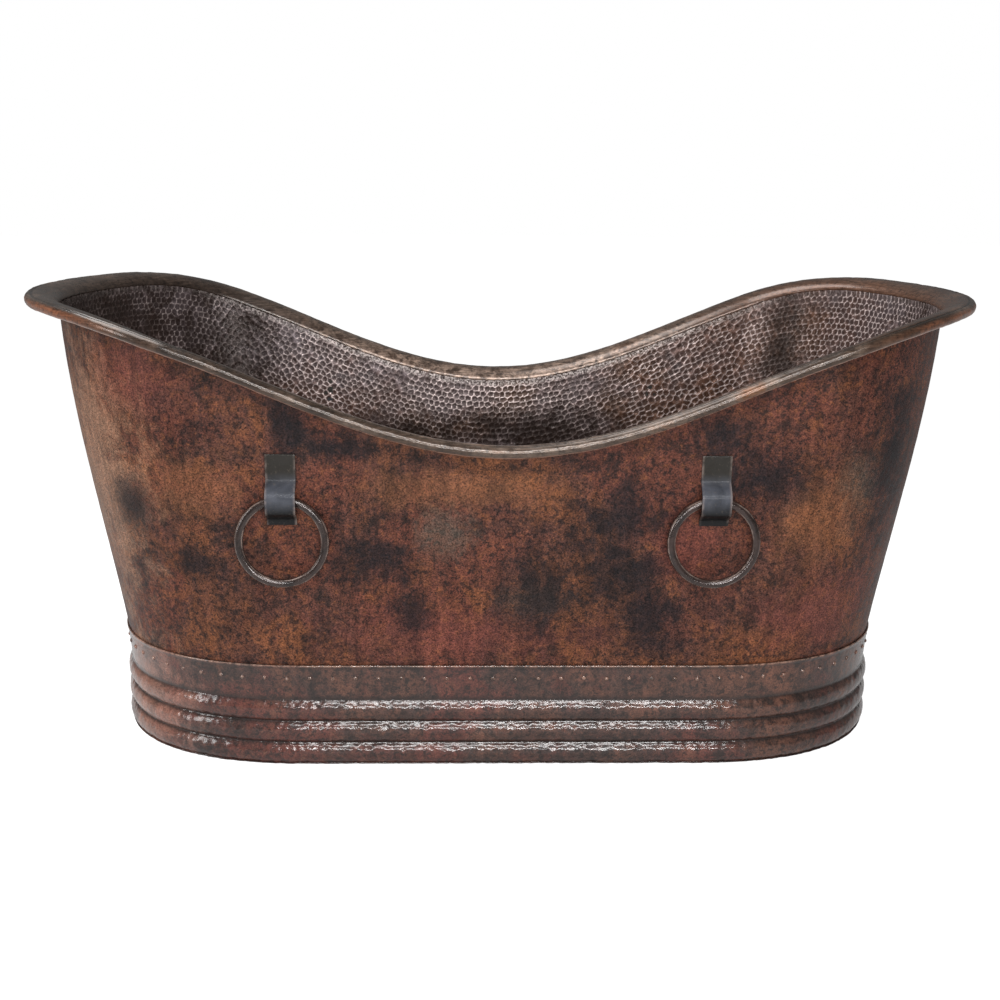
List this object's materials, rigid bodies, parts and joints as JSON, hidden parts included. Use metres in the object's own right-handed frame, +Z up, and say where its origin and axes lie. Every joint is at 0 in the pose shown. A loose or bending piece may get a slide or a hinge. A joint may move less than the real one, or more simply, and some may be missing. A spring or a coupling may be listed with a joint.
{
  "type": "freestanding bathtub",
  "caption": "Double-slipper bathtub of hammered copper sheet with a rolled rim, a beaded plinth, swinging ring handles and a floor waste with a press stopper.",
  "frame": {"origin": "middle of the footprint on the floor", "axes": "+X along the tub, -Y the front with the two ring handles seen first, +Z up"},
  "size_m": [1.7016, 0.8718, 0.7878],
  "materials": {
    "shell_copper": "hammered copper sheet, mottled brown patina, satin",
    "inner_copper": "hammered copper sheet, dark grey-brown patina, glossy",
    "rim_copper": "smooth rolled copper, dark brown patina, satin",
    "plinth_copper": "hammered copper sheet, red-brown patina, glossy",
    "iron": "hand-forged iron, blackened and waxed",
    "steel": "plain mild steel",
    "bronze": "oil-rubbed bronze finish",
    "rubber": "black moulded rubber",
    "nylon": "natural nylon",
    "oak": "sawn oak"
  },
  "bodies": {
    "tub": {"tub_wall": "shell_copper", "tub_floor": "inner_copper", "rolled_rim": "rim_copper", "rim_core_rod": "steel", "plinth_skirt": "plinth_copper", "skirt_rivets": "plinth_copper", "foot_ring": "steel", "bearer_far_left": "oak", "bearer_left": "oak", "bearer_right": "oak", "bearer_far_right": "oak", "bearer_pads": "rubber", "strap_front_left": "iron", "strap_front_right": "iron", "strap_back_left": "iron", "strap_back_right": "iron", "drain_body": "bronze", "drain_gasket": "rubber", "drain_washer": "rubber", "slip_ring": "nylon", "drain_locknut": "bronze", "tailpiece": "bronze", "tail_washer": "rubber", "tail_nut": "bronze", "stopper_cartridge": "bronze", "stopper_spring": "steel"},
    "ring_front_left": {"ring_front_left": "iron"},
    "ring_front_right": {"ring_front_right": "iron"},
    "ring_back_left": {"ring_back_left": "iron"},
    "ring_back_right": {"ring_back_right": "iron"},
    "stopper": {"stopper_stem": "steel", "stopper_cap": "bronze", "stopper_seal": "rubber"}
  },
  "joints": [
    {"name": "ring_front_left_swing", "type": "hinge", "parent": "tub", "child": "ring_front_left", "pos_m": [-0.368, -0.37556, 0.48], "axis": [-1, 0, 0], "range_deg": [-4, 165]},
    {"name": "ring_front_right_swing", "type": "hinge", "parent": "tub", "child": "ring_front_right", "pos_m": [0.342, -0.37639, 0.48], "axis": [-1, 0, 0], "range_deg": [-4, 165]},
    {"name": "ring_back_left_swing", "type": "hinge", "parent": "tub", "child": "ring_back_left", "pos_m": [-0.368, 0.37556, 0.48], "axis": [1, 0, 0], "range_deg": [-4, 165]},
    {"name": "ring_back_right_swing", "type": "hinge", "parent": "tub", "child": "ring_back_right", "pos_m": [0.342, 0.37639, 0.48], "axis": [1, 0, 0], "range_deg": [-4, 165]},
    {"name": "stopper_press", "type": "slide", "parent": "tub", "child": "stopper", "axis": [0, 0, 1], "range_m": [-0.0075, 0], "stiffness_N_per_m": 800, "springref_m": 0.006, "deforming": ["stopper_spring"]}
  ]
}
